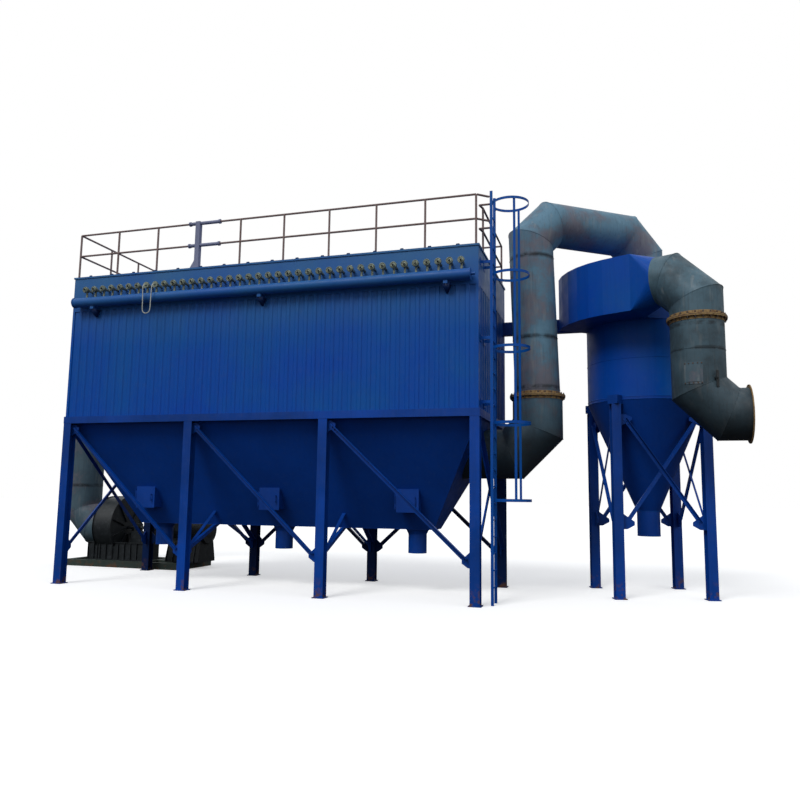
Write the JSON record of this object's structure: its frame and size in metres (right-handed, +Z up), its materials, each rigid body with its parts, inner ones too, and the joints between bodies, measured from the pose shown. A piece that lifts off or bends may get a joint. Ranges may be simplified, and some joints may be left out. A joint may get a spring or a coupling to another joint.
{
  "type": "baghouse dust collector",
  "caption": "Pulse-jet baghouse dust collector on legs, with a trough hopper, roof rails, caged ladder, cyclone pre-separator, mitred ducts and a fan set.",
  "frame": {"origin": "middle of the underside of the front left column's base plate, on the floor", "axes": "+X along the filter house towards the cyclone, +Y from the valve side to the rear, +Z up"},
  "size_m": [18.4909, 5.831, 8.7342],
  "materials": {
    "house_enamel": "glossy",
    "frame_enamel": "glossy",
    "hopper_enamel": "satin",
    "duct_paint": "satin, stained",
    "rusty_primer": "matt, rusty",
    "fan_paint": "satin",
    "valve_casting": "dull cast",
    "skid_paint": "satin",
    "hose_rubber": "matt"
  },
  "bodies": {
    "plant": {"front_columns": "frame_enamel", "rear_columns": "frame_enamel", "front_braces": "frame_enamel", "rear_braces": "frame_enamel", "end_braces": "frame_enamel", "knee_braces": "frame_enamel", "ring_beam": "frame_enamel", "front_wall": "house_enamel", "rear_wall": "house_enamel", "left_wall": "house_enamel", "right_wall": "house_enamel", "roof_sheet": "house_enamel", "roof_lids": "house_enamel", "front_rail": "rusty_primer", "rear_rail": "rusty_primer", "left_rail": "rusty_primer", "right_rail": "rusty_primer", "hoist_mast": "house_enamel", "air_header": "house_enamel", "pulse_valves": "valve_casting", "hopper_front": "hopper_enamel", "hopper_rear": "hopper_enamel", "hopper_left": "hopper_enamel", "hopper_right": "hopper_enamel", "hopper_floor": "hopper_enamel", "dust_outlets": "frame_enamel", "door_frames": "hopper_enamel", "ladder": "house_enamel", "ladder_cage": "house_enamel", "cage_straps": "house_enamel", "crossover_duct": "duct_paint", "duct_flanges": "rusty_primer", "tie_beam": "frame_enamel", "cyclone_barrel": "house_enamel", "cyclone_cone": "hopper_enamel", "cyclone_scroll": "house_enamel", "inlet_transition": "house_enamel", "cyclone_legs": "frame_enamel", "cyclone_braces": "frame_enamel", "feed_duct": "duct_paint", "clean_air_duct": "duct_paint", "fan_casing": "fan_paint", "fan_bearings": "fan_paint", "fan_motor": "fan_paint", "fan_skid": "skid_paint", "valve_hose": "hose_rubber"},
    "door_1": {"door_1": "hopper_enamel"},
    "door_2": {"door_2": "hopper_enamel"},
    "door_3": {"door_3": "hopper_enamel"}
  },
  "joints": [
    {"name": "door_1_hinge", "type": "hinge", "parent": "plant", "child": "door_1", "pos_m": [1.349, 0.7983, 2], "axis": [0, 0, -1], "range_deg": [0, 110]},
    {"name": "door_2_hinge", "type": "hinge", "parent": "plant", "child": "door_2", "pos_m": [4.599, 0.7983, 2], "axis": [0, 0, -1], "range_deg": [0, 110]},
    {"name": "door_3_hinge", "type": "hinge", "parent": "plant", "child": "door_3", "pos_m": [7.849, 0.7983, 2], "axis": [0, 0, -1], "range_deg": [0, 110]}
  ]
}
